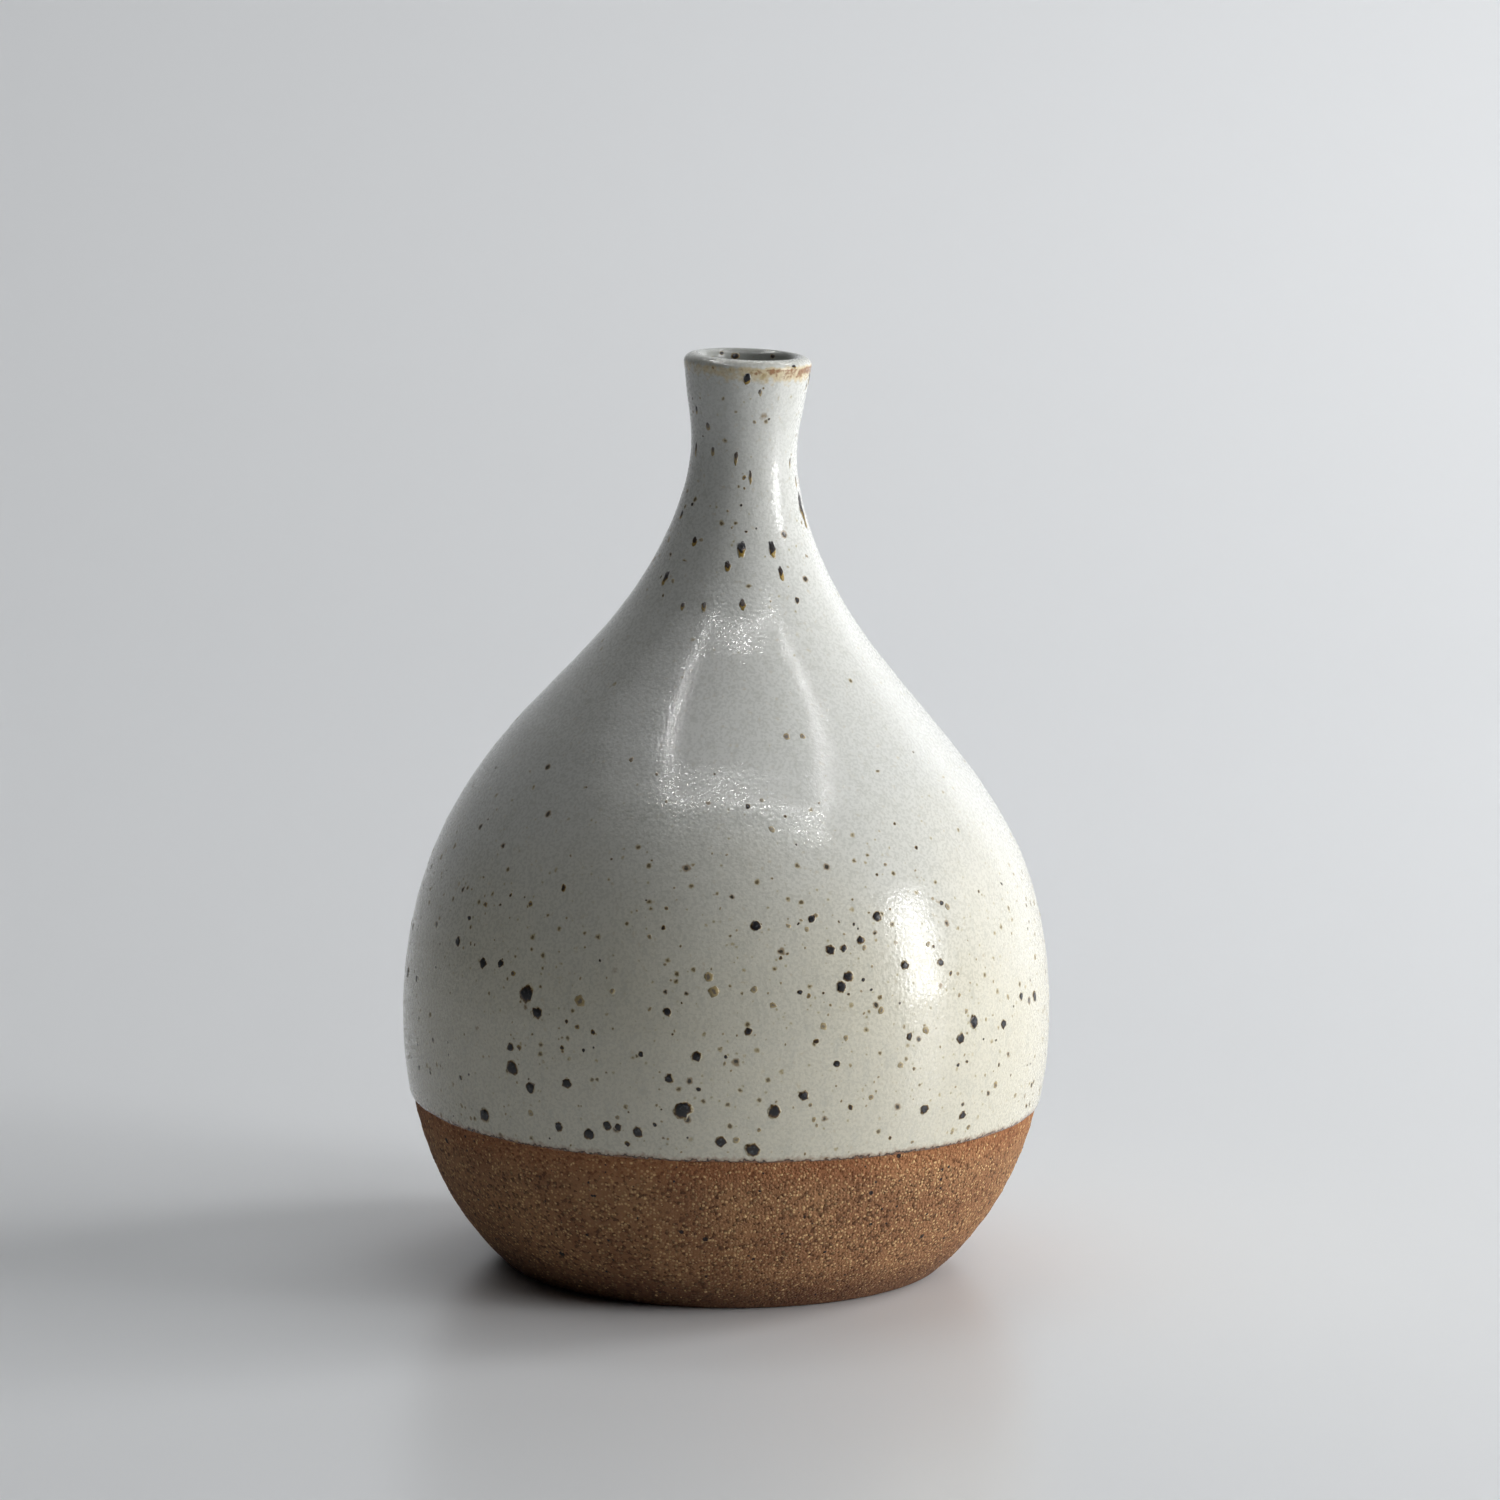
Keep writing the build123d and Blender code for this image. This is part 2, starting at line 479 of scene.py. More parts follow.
def seated_blobs_tree() -> Tree:
    """Builds the tree that seats flattened blobs on a wall: iron spots in glaze, grog in clay.

    Returns:
        The geometry tree. Its base mesh is loose points, each with its blob's size, stretch,
        turn and tone. A blob's rim lies just under the wall and its middle stands proud.
    """
    tree = bpy.data.node_groups.new("seated_blobs", "GeometryNodeTree")
    add = partial(add_node, tree)
    given = declare(
        tree,
        {
            "Points": "Geometry",
            "Wall": "Object",
            "Segments": "Int",
            "Rings": "Int",
            "Proud": "Float",
            "Ragged": "Float",
            "Ragged Size": "Float",
            "Material": "Material",
        },
    ).outputs
    names = ("size", "stretch", "turn", "rise")
    trait = {
        name: add("GeometryNodeInputNamedAttribute", {"Name": name}, data_type="FLOAT")
        for name in names
    }
    wall = add("GeometryNodeObjectInfo", given["Wall"], transform_space="ORIGINAL")
    wall = wall.outputs["Geometry"]
    here = add("GeometryNodeInputPosition")
    inputs = {"Mesh": wall, "Value": add("GeometryNodeInputNormal"), "Sample Position": here}
    outward = add("GeometryNodeSampleNearestSurface", inputs, data_type="FLOAT_VECTOR")

    # each blob lies flat on the wall with its own Y axis uphill, then takes its turn
    turned = add("FunctionNodeAlignRotationToVector", {"Vector": outward}, axis="Z")
    inputs = {"Rotation": turned, "Vector": (0.0, 0.0, 1.0)}
    turned = add("FunctionNodeAlignRotationToVector", inputs, axis="Y", pivot_axis="Z")
    twist = add("FunctionNodeEulerToRotation", add("ShaderNodeCombineXYZ", {2: trait["turn"]}))
    turned = add("FunctionNodeRotateRotation", turned, twist, rotation_space="LOCAL")
    size = add(
        "ShaderNodeCombineXYZ",
        add("ShaderNodeMath:DIVIDE", trait["size"], trait["stretch"]),
        add("ShaderNodeMath:MULTIPLY", trait["size"], trait["stretch"]),
        trait["size"],
    )

    # a blob's place on the unit ball tells its rim from its middle
    ball = add("GeometryNodeMeshUVSphere", given["Segments"], given["Rings"], 0.5)
    flat = add("ShaderNodeVectorMath:MULTIPLY", here, (2.0, 2.0, 0.0))
    ball_axes = add("ShaderNodeSeparateXYZ", here).outputs
    marks = {
        "rim": add("ShaderNodeVectorMath:LENGTH", flat).outputs["Value"],
        "rise": ball_axes["Z"],
        "uphill": add("ShaderNodeMath:MULTIPLY", ball_axes["Y"], 2.0),
    }
    for name, mark in marks.items():
        inputs = {"Geometry": ball, "Name": name, "Value": mark}
        ball = add("GeometryNodeStoreNamedAttribute", inputs, data_type="FLOAT")
    inputs = {"Points": given["Points"], "Instance": ball, "Rotation": turned, "Scale": size}
    shape = add("GeometryNodeInstanceOnPoints", inputs)
    shape = add("GeometryNodeRealizeInstances", {"Geometry": shape})

    # a ragged outline
    closeness = add("ShaderNodeMath:DIVIDE", 1.0, given["Ragged Size"])
    noise = add("ShaderNodeTexNoise", {"Vector": here, "Scale": closeness, "Detail": 2.0})
    shift = add("ShaderNodeVectorMath:SUBTRACT", noise.outputs["Color"], (0.5, 0.5, 0.5))
    reach = add("ShaderNodeMath:MULTIPLY", given["Ragged"], trait["size"])
    shift = add("ShaderNodeVectorMath:SCALE", shift, {"Scale": reach})
    shape = add("GeometryNodeSetPosition", {"Geometry": shape, "Offset": shift})

    # every vertex goes back onto the wall, proud of it or sunk in it by its own rise
    on_wall = add("GeometryNodeProximity", wall, target_element="FACES")
    lift = add("ShaderNodeMath:MULTIPLY_ADD", trait["rise"], 2.0, -0.25)
    lift = add("ShaderNodeMath:MULTIPLY", lift, trait["size"])
    lift = add("ShaderNodeMath:MULTIPLY", lift, given["Proud"])
    lift = add("ShaderNodeVectorMath:SCALE", outward, {"Scale": lift})
    seat = add("ShaderNodeVectorMath:ADD", on_wall, lift)
    shape = add("GeometryNodeSetPosition", {"Geometry": shape, "Position": seat})
    inputs = {"Geometry": shape, "Material": given["Material"]}
    add("NodeGroupOutput", add("GeometryNodeSetMaterial", inputs))
    return tree


# ---------------------------------------------------------------- finishes

# a step from 0 to 1 that starts and stops gently
EASED = {"interpolation_type": "SMOOTHSTEP"}


def new_material(name: str) -> tuple[bpy.types.Material, partial, Node]:
    """Starts a material.

    Args:
        name: the real material and how its surface was made.

    Returns:
        The material, a way to add nodes to it, and its shader node.
    """
    material = bpy.data.materials.new(name)
    material.use_nodes = True
    tree = material.node_tree
    return material, partial(add_node, tree), tree.nodes["Principled BSDF"]


@dataclass(frozen=True)
class SpeckLayer:
    """A layer of iron specks that melted through a glaze: a core in a halo."""

    spacing_mm: float
    radius_mm: float
    share: float
    core: str
    halo: str
    strength: float


@dataclass(frozen=True)
class SpeckledGlaze:
    """Satin off-white stoneware glaze over iron-bearing clay.

    It is cooler and greyer above and creamier below. Its skin is finely rippled, and glassy grains
    in it sparkle in a highlight.
    """

    cool: str = "#D0D1CC"
    warm: str = "#D3CFBE"
    # the streaks' greyer glaze, also laid on top of the lip as painted shade
    thin_glaze_and_lip_shade: str = "#B2B3A9"
    deep: str = "#9FA19B"
    rust: str = "#8A5A2C"
    straw: str = "#CDB98A"
    burnt: str = "#33211A"
    bare: str = "#8A5C3C"
    satin: float = 0.36
    glassy: float = 0.07
    skin_weight: float = 0.4
    skin_roughness: float = 0.13
    ripple_height: float = 0.038 * MM
    ripple_spacing_mm: float = 0.55
    grain_spacing_mm: float = 0.45
    grain_shade: float = 0.10
    layers: tuple[SpeckLayer, ...] = (
        SpeckLayer(1.15, 0.20, 0.50, "#8F8255", "#B9B08A", 0.55),
        SpeckLayer(1.9, 0.34, 0.52, "#4C3A1E", "#A08B4C", 0.85),
        SpeckLayer(3.3, 0.48, 0.42, "#292521", "#86682F", 0.95),
    )

    def speck_band(self, add: partial, height: object) -> Node:
        """Says how thickly the specks lie: thick low down and on the neck, thin between."""
        below = add("ShaderNodeMapRange", height, 80 * MM, 56 * MM, **EASED)
        neck = add("ShaderNodeMapRange", height, 94 * MM, 108 * MM, **EASED)
        neck = add("ShaderNodeMath:MULTIPLY", neck, 0.55)
        either = add("ShaderNodeMath:MAXIMUM", below, neck)
        return add("ShaderNodeMath:MULTIPLY_ADD", either, 0.94, 0.06)

    def ground(self, add: partial, coords: object) -> Node:
        """Builds the glaze's colour without its specks.

        Args:
            add: adds nodes to the tree.
            coords: object coordinates.

        Returns:
            The node that gives the colour.
        """
        height = add("ShaderNodeSeparateXYZ", coords).outputs["Z"]
        inputs = {"Vector": coords, "Scale": per_metre(26), "Detail": 4.0}
        clouds = add("ShaderNodeTexNoise", inputs)
        drift = add("ShaderNodeMath:MULTIPLY_ADD", clouds, 34 * MM, -17 * MM)
        level = add("ShaderNodeMath:ADD", height, drift)
        warmth = add("ShaderNodeMapRange", level, 80 * MM, 40 * MM, **EASED)
        colour = add("ShaderNodeMixRGB", warmth, linear(self.cool), linear(self.warm))
        # the glaze ran downwards, so that its thin places are drawn out into faint streaks
        drawn_out = add("ShaderNodeVectorMath:MULTIPLY", coords, (1.0, 1.0, 0.55))
        inputs = {"Vector": drawn_out, "Scale": per_metre(1.5), "Detail": 5.0}
        streaks = add("ShaderNodeTexNoise", inputs)
        thin_glaze_and_lip_shade = add("ShaderNodeMapRange", streaks, 0.48, 0.74, **EASED)
        thin_glaze_and_lip_shade = add("ShaderNodeMath:MULTIPLY", thin_glaze_and_lip_shade, 0.26)
        return add("ShaderNodeMixRGB", thin_glaze_and_lip_shade, colour, linear(self.thin_glaze_and_lip_shade))

    def specked(self, add: partial, coords: object, colour: Node) -> Node:
        """Lays every layer of specks over a colour.

        Args:
            add: adds nodes to the tree.
            coords: object coordinates.
            colour: the colour underneath.

        Returns:
            The node that gives the new colour.
        """
        height = add("ShaderNodeSeparateXYZ", coords).outputs["Z"]
        band = self.speck_band(add, height)
        for number, layer in enumerate(self.layers):
            ragged = layer.radius_mm * 1.6
            inputs = {"Vector": coords, "Scale": per_metre(ragged), "Detail": 3.0}
            wobble = add("ShaderNodeTexNoise", inputs).outputs["Color"]
            wobble = add("ShaderNodeVectorMath:SUBTRACT", wobble, (0.5, 0.5, 0.5))
            wobble = add("ShaderNodeVectorMath:SCALE", wobble, {"Scale": layer.radius_mm * 1.5 * MM})
            place = add("ShaderNodeVectorMath:ADD", coords, wobble)
            place = add("ShaderNodeVectorMath:ADD", place, (0.013 * number, 0.007 * number, 0.0))
            inputs = {"Vector": place, "Scale": per_metre(layer.spacing_mm)}
            cells = add("ShaderNodeTexVoronoi", inputs)
            chance = add("ShaderNodeSeparateColor", cells.outputs["Color"]).outputs
            wanted = add("ShaderNodeMath:MULTIPLY", band, layer.share)
            chosen = add("ShaderNodeMath:LESS_THAN", chance[0], wanted)
            radius = layer.radius_mm / layer.spacing_mm
            size = add("ShaderNodeMath:MULTIPLY_ADD", chance[1], 0.75 * radius, 0.35 * radius)
            apart = add("ShaderNodeMath:DIVIDE", cells.outputs["Distance"], size)
            chosen = add("ShaderNodeMath:MULTIPLY", chosen, layer.strength)
            halo = add("ShaderNodeMapRange", apart, 1.55, 0.95, **EASED)
            halo = add("ShaderNodeMath:MULTIPLY", halo, chosen)
            halo = add("ShaderNodeMath:MULTIPLY", halo, 0.75)
            colour = add("ShaderNodeMixRGB", halo, colour, linear(layer.halo))
            core = add("ShaderNodeMapRange", apart, 1.0, 0.6, **EASED)
            core = add("ShaderNodeMath:MULTIPLY", core, chosen)
            colour = add("ShaderNodeMixRGB", core, colour, linear(layer.core))
        return colour

    def dress(self, add: partial, coords: object, shader: Node, colour: object) -> None:
        """Gives the shader the glaze's colour, shine and finely rippled skin.

        Args:
            add: adds nodes to the tree.
            coords: object coordinates.
            shader: the shader.
            colour: the colour's socket or node.
        """
        # glassy grains in a satin glaze, a shade darker than it, catch the light one by one
        inputs = {"Vector": coords, "Scale": per_metre(self.grain_spacing_mm), "Detail": 1.0}
        grains = add("ShaderNodeMapRange", add("ShaderNodeTexNoise", inputs), 0.50, 0.55, **EASED)
        shine = add("ShaderNodeMapRange", grains, 0.0, 1.0, self.satin, self.glassy)
        darker = add("ShaderNodeMath:MULTIPLY", grains, self.grain_shade)
        colour = add("ShaderNodeMixRGB", darker, colour, linear(self.deep))
        inputs = {"Vector": coords, "Scale": per_metre(self.ripple_spacing_mm), "Detail": 1.5}
        ripples = add("ShaderNodeTexNoise", inputs)
        skin = add("ShaderNodeBump", {"Distance": self.ripple_height, "Height": ripples})
        feed(shader, {"Base Color": colour, "Roughness": shine, "Normal": skin, "IOR": 1.5})
        feed(shader, {"Coat Weight": self.skin_weight, "Coat Roughness": self.skin_roughness})
        feed(shader, {"Coat Normal": skin})

    def outside(self) -> bpy.types.Material:
        """Makes the coat's material: stoneware glaze that breaks rusty where it lies thin."""
        material, add, shader = new_material("satin_white_stoneware_glaze")
        coords = add("ShaderNodeTexCoord").outputs["Object"]
        colour = self.specked(add, coords, self.ground(add, coords))
        # on top of the lip the glaze is painted greyer: painted shade on the lip's upward face
        height = add("ShaderNodeSeparateXYZ", coords).outputs["Z"]
        lip_top_painted_shade = add("ShaderNodeMapRange", height, 133.2 * MM, 134.0 * MM, **EASED)
        lip_top_painted_shade = add("ShaderNodeMath:MULTIPLY", lip_top_painted_shade, 0.7)
        colour = add("ShaderNodeMixRGB", lip_top_painted_shade, colour, linear(self.thin_glaze_and_lip_shade))
        # over the lip's outer edge it is thin: straw below, then broken rust, most at the right
        brow = add("ShaderNodeAttribute", attribute_name="brow").outputs["Fac"]
        side = add("ShaderNodeSeparateXYZ", coords).outputs["X"]
        right = add("ShaderNodeMapRange", side, -7 * MM, 12 * MM, 0.5, 1.25)
        inputs = {"Vector": coords, "Scale": per_metre(0.9), "Detail": 5.0}
        patch = add("ShaderNodeTexNoise", inputs)
        broken = add("ShaderNodeMath:MULTIPLY_ADD", patch, 1.5, -0.80)
        broken = add("ShaderNodeMath:ADD", broken, add("ShaderNodeMath:MULTIPLY", brow, right))
        straw = add("ShaderNodeMapRange", broken, 0.10, 0.62, **EASED)
        straw = add("ShaderNodeMath:MULTIPLY", straw, 0.75)
        colour = add("ShaderNodeMixRGB", straw, colour, linear(self.straw))
        rust = add("ShaderNodeMapRange", broken, 0.62, 0.90, **EASED)
        rust = add("ShaderNodeMath:MULTIPLY", rust, 0.9)
        colour = add("ShaderNodeMixRGB", rust, colour, linear(self.rust))
        # the coat ends in a ragged line: tan, then a burnt hair of glaze, then bare clay
        edge = add("ShaderNodeAttribute", attribute_name="edge").outputs["Fac"]
        above = add("ShaderNodeMath:SQRT", add("ShaderNodeMath:SUBTRACT", 1.0, edge))
        inputs = {"Vector": coords, "Scale": per_metre(0.8), "Detail": 3.0}
        jagged = add("ShaderNodeMath:MULTIPLY_ADD", add("ShaderNodeTexNoise", inputs), 0.42, -0.21)
        above = add("ShaderNodeMath:ADD", above, jagged)
        toasted = add("ShaderNodeMapRange", above, 0.26, 0.09, **EASED)
        toasted = add("ShaderNodeMath:MULTIPLY", toasted, 0.55)
        colour = add("ShaderNodeMixRGB", toasted, colour, linear(self.rust))
        burnt = add("ShaderNodeMapRange", above, 0.11, 0.075, **EASED)
        colour = add("ShaderNodeMixRGB", burnt, colour, linear(self.burnt))
        bare = add("ShaderNodeMapRange", above, 0.055, 0.035, **EASED)
        colour = add("ShaderNodeMixRGB", bare, colour, linear(self.bare))
        self.dress(add, coords, shader, colour)
        return material


@dataclass(frozen=True)
class ShadedLiningGlaze(SpeckledGlaze):
    """The same glaze poured inside, glossier, and painted a darker grey as shade inside the mouth."""

    # darker greys than the outside glaze: painted shade inside the narrow mouth
    cool: str = "#9FA19D"
    warm: str = "#9C9A8E"
    satin: float = 0.20
    glassy: float = 0.06

    def inside(self) -> bpy.types.Material:
        """Makes the lining's material: glossy poured glaze, painted grey as shade inside the mouth."""
        material, add, shader = new_material("liner_glaze_painted_grey_shade")
        coords = add("ShaderNodeTexCoord").outputs["Object"]
        self.dress(add, coords, shader, self.specked(add, coords, self.ground(add, coords)))
        return material


@dataclass(frozen=True)
class IronSpotFinish:
    """Iron that boiled up through the glaze.

    Each spot has a core, charcoal or brown by its tone, in a brown and then an ochre rim that
    melts into the glaze. In a spot that ran, the core stays at the top and ochre runs down.
    """

    charcoal: str = "#1F1F22"
    ash_and_sheen: str = "#505257"
    brown: str = "#452C17"
    ochre: str = "#957C3A"
    roughness: float = 0.32

    def material(self, glaze: SpeckledGlaze) -> bpy.types.Material:
        """Makes the spots' material.

        Args:
            glaze: the glaze round the spots.

        Returns:
            The material.
        """
        material, add, shader = new_material("melted_iron_spot")
        coords = add("ShaderNodeTexCoord").outputs["Object"]
        rim, uphill, tone, run = (
            add("ShaderNodeAttribute", attribute_name=name).outputs["Fac"]
            for name in ("rim", "uphill", "tone", "run")
        )
        inputs = {"Vector": coords, "Scale": per_metre(0.45), "Detail": 4.0}
        grain = add("ShaderNodeTexNoise", inputs)
        out = add("ShaderNodeMath:MULTIPLY_ADD", grain, 0.5, add("ShaderNodeMath:ADD", rim, -0.25))
        # lighter ash-grey flecks in the charcoal: partly the spot's own texture, partly painted metallic
        # sheen
        ash_and_sheen_mask = add("ShaderNodeMapRange", grain, 0.5, 0.7, **EASED)
        dark = add("ShaderNodeMixRGB", ash_and_sheen_mask, linear(self.charcoal), linear(self.ash_and_sheen))
        core = add("ShaderNodeMixRGB", tone, dark, linear(self.brown))
        drop = add("ShaderNodeMath:MULTIPLY", add("ShaderNodeMath:MULTIPLY", uphill, run), -1.0)
        spread = add("ShaderNodeMath:MULTIPLY_ADD", tone, 0.42, add("ShaderNodeMath:ADD", out, drop))
        browned = add("ShaderNodeMapRange", spread, 0.55, 0.76, **EASED)
        colour = add("ShaderNodeMixRGB", browned, core, linear(self.brown))
        rusted = add("ShaderNodeMapRange", spread, 0.68, 0.90, **EASED)
        colour = add("ShaderNodeMixRGB", rusted, colour, linear(self.ochre))
        # the browner a spot, the more of it dissolved in the glaze
        ground = glaze.ground(add, coords)
        faint = add("ShaderNodeMapRange", tone, 0.55, 1.0, 0.0, 0.3)
        colour = add("ShaderNodeMixRGB", faint, colour, ground)
        melted = add("ShaderNodeMapRange", out, 0.74, 1.0, **EASED)
        colour = add("ShaderNodeMixRGB", melted, colour, ground)
        bump = add("ShaderNodeBump", {"Strength": 0.5, "Distance": 0.05 * MM, "Height": grain})
        feed(shader, {"Base Color": colour, "Normal": bump, "Roughness": self.roughness})
        return material


@dataclass(frozen=True)
class StonewareClay:
    """Coarse toasted stoneware: matt and gritty, golden sand in a brown body."""

    toast: str = "#A97D58"
    brown: str = "#936849"
    sand: str = "#DFBA86"
    gap: str = "#4A2F20"
    orange: str = "#A9663C"
    pepper: str = "#20242A"
    lowest_darker_red: str = "#5A3A2B"
    roughness: float = 0.9

    def wall(self) -> bpy.types.Material:
        """Makes the bare clay's material: trimmed and toasted stoneware."""
        material, add, shader = new_material("toasted_grogged_stoneware")
        coords = add("ShaderNodeTexCoord").outputs["Object"]
        height = add("ShaderNodeSeparateXYZ", coords).outputs["Z"]
        inputs = {"Vector": coords, "Scale": per_metre(9), "Detail": 5.0}
        patches = add("ShaderNodeMapRange", add("ShaderNodeTexNoise", inputs), 0.32, 0.68, **EASED)
        colour = add("ShaderNodeMixRGB", patches, linear(self.brown), linear(self.toast))
        # grains of sand, each its own shade, with dark gaps between them
        inputs = {"Vector": coords, "Scale": per_metre(0.46)}
        grains = add("ShaderNodeTexVoronoi", inputs)
        shade = add("ShaderNodeSeparateColor", grains.outputs["Color"]).outputs
        middle = add("ShaderNodeMapRange", grains.outputs["Distance"], 0.62, 0.25, **EASED)
        sandy = add("ShaderNodeMapRange", shade[0], 0.50, 0.90, **EASED)
        sandy = add("ShaderNodeMath:MULTIPLY", add("ShaderNodeMath:MULTIPLY", sandy, middle), 0.9)
        colour = add("ShaderNodeMixRGB", sandy, colour, linear(self.sand))
        dark = add("ShaderNodeMapRange", shade[1], 0.60, 0.98, **EASED)
        dark = add("ShaderNodeMath:MULTIPLY", dark, 0.75)
        colour = add("ShaderNodeMixRGB", dark, colour, linear(self.gap))
        # just under the glaze the clay flashed orange
        flash = add("ShaderNodeMapRange", height, 19 * MM, 24.5 * MM, **EASED)
        flash = add("ShaderNodeMath:MULTIPLY", flash, 0.35)
        colour = add("ShaderNodeMixRGB", flash, colour, linear(self.orange))
        # sparse iron grains, nearly black
        cells = add("ShaderNodeTexVoronoi", {"Vector": coords, "Scale": per_metre(3.4)})
        chance = add("ShaderNodeSeparateColor", cells.outputs["Color"]).outputs
        chosen = add("ShaderNodeMath:LESS_THAN", chance[0], 0.45)
        size = add("ShaderNodeMath:MULTIPLY_ADD", chance[1], 0.09, 0.06)
        dots = add("ShaderNodeMath:LESS_THAN", cells.outputs["Distance"], size)
        dots = add("ShaderNodeMath:MULTIPLY", add("ShaderNodeMath:MULTIPLY", dots, chosen), 0.9)
        colour = add("ShaderNodeMixRGB", dots, colour, linear(self.pepper))
        # the lowest part is darker and redder
        low = add("ShaderNodeMapRange", height, 8 * MM, 1.5 * MM, **EASED)
        low = add("ShaderNodeMath:MULTIPLY", low, 0.65)
        colour = add("ShaderNodeMixRGB", low, colour, linear(self.lowest_darker_red))
        rough = add("ShaderNodeMath:MULTIPLY_ADD", shade[2], 0.6, middle)
        bump = add("ShaderNodeBump", {"Strength": 0.9, "Distance": 0.16 * MM, "Height": rough})
        feed(shader, {"Base Color": colour, "Normal": bump, "Roughness": self.roughness})
        feed(shader, {"Specular IOR Level": 0.35})
        return material

    def grains(self) -> bpy.types.Material:
        """Makes the grog's material: fired grit, from sand to dark brown by the grain's tone."""
        material, add, shader = new_material("fired_grog_grit")
        tone = add("ShaderNodeAttribute", attribute_name="tone").outputs["Fac"]
        toasted = add("ShaderNodeMapRange", tone, 0.25, 0.7, **EASED)
        pale = add("ShaderNodeMixRGB", toasted, linear(self.sand), linear(self.brown))
        dark = add("ShaderNodeMapRange", tone, 0.90, 0.93, **EASED)
        colour = add("ShaderNodeMixRGB", dark, pale, linear(self.pepper))
        feed(shader, {"Base Color": colour, "Roughness": 0.75, "Specular IOR Level": 0.35})
        return material


# ---------------------------------------------------------------- sub-assemblies


@dataclass(frozen=True)
class Throwing:
    """How the potter's hands left the wall."""

    columns: int
    ring_height: float = 0.0
    ring_spacing: float = 5.0 * MM
    unevenness: float = 0.0
    edge_wave: float = 0.0
    seed: float = 1.0


@dataclass
class TurnedPiece:
    """A wall of the pot that is turned from a section."""

    tree: Tree
    throwing: Throwing
    axis: LeaningAxis = LeaningAxis()

    def turn(self, name: str, section: list[SectionPoint], material: bpy.types.Material) -> Piece:
        """Turns a section into a closed piece.

        Args:
            name: the piece's name.
            section: the section's points, in order.
            material: the piece's finish.

        Returns:
            The finished piece.
        """
        mesh = bpy.data.meshes.new(f"{name}_section")
        spots = [(point.radius, 0.0, point.level) for point in section]
        mesh.from_pydata(spots, [(i, i + 1) for i in range(len(spots) - 1)], [])
        for trait in ("relief", "edge", "brow", "slope"):
            layer = mesh.attributes.new(trait, "FLOAT", "POINT")
            layer.data.foreach_set("value", [getattr(point, trait) for point in section])
        throwing = self.throwing
        values = {
            "Columns": throwing.columns,
            "Lean Slope": math.tan(self.axis.angle),
            "Lean Start": self.axis.start,
            "Lean Run": self.axis.run,
            "Ring Height": throwing.ring_height,
            "Ring Spacing": throwing.ring_spacing,
            "Unevenness": throwing.unevenness,
            "Edge Wave": throwing.edge_wave,
            "Seed": throwing.seed,
            "Material": material,
        }
        piece = run_tree(name, mesh, self.tree, values)
        face_out(piece)
        return piece


@dataclass
class StonewareBody(TurnedPiece):
    """The thrown clay: foot, wall and lip in one piece."""

    foot_radius: float = 32 * MM
    ring_width: float = 6 * MM
    recess_depth: float = 2 * MM
    bevel_width: float = 3.2 * MM
    bevel_height: float = 3 * MM
    corner_rounds: tuple[float, ...] = (0.5 * MM, 0.7 * MM, 0.8 * MM, 1.2 * MM)
    glaze_lap: float = 1.5 * MM
    bare_step: float = 0.4 * MM
    covered_step: float = 1.6 * MM
    inside_step: float = 2.2 * MM
    lip: Lip = Lip(steps=6)

    def section(self, outside: SmoothCurve, inside: SmoothCurve) -> list[SectionPoint]:
        """Draws the clay's section, from the middle of the underside to the middle of the floor.

        Args:
            outside: the clay's outer radius against level.
            inside: its inner radius against level.

        Returns:
            The section's points.
        """
        recess_radius = self.foot_radius - self.ring_width
        above_bevel = self.bevel_height + self.corner_rounds[-1]
        corners = [
            (0.0, self.recess_depth),
            (recess_radius, self.recess_depth),
            (recess_radius, 0.0),
            (self.foot_radius, 0.0),
            (self.foot_radius + self.bevel_width, self.bevel_height),
            (outside.at(above_bevel), above_bevel),
        ]
        spots = [corners[0], (recess_radius / 2, self.recess_depth)]
        for i, reach in enumerate(self.corner_rounds, start=1):
            spots += rounded(*corners[i - 1 : i + 2], reach)
        points = [SectionPoint(*spot) for spot in spots]
        bare_top = GLAZE_LINE + self.glaze_lap
        for level in spaced(above_bevel, bare_top, self.bare_step)[1:]:
            relief = ease((GLAZE_LINE - level) / MM) * ease((level - above_bevel) / MM)
            points.append(SectionPoint(outside.at(level), level, relief))
        for level in spaced(bare_top, self.lip.level, self.covered_step)[1:-1]:
            points.append(SectionPoint(outside.at(level), level))
        points += self.lip.quarter(outside.at(self.lip.level), self.lip.clay_rise)
        points += self.lip.quarter(inside.at(self.lip.level), self.lip.clay_rise)[-2::-1]
        for level in spaced(self.lip.level, FLOOR_LEVEL + 0.4 * MM, self.inside_step)[1:]:
            points.append(SectionPoint(inside.at(level), level))
        for share in (1.0, 0.5, 0.0):
            points.append(SectionPoint(FLAT_FLOOR_RADIUS * share, FLOOR_LEVEL))
        return points

    def build(self, outside: SmoothCurve, inside: SmoothCurve, clay: StonewareClay) -> Piece:
        """Builds and dresses the body.

        Args:
            outside: the clay's outer radius against level.
            inside: its inner radius against level.
            clay: its finish.

        Returns:
            The finished piece.
        """
        piece = self.turn("stoneware_body_thrown", self.section(outside, inside), clay.wall())
        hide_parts("stoneware_body")
        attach(piece, "root")
        return piece


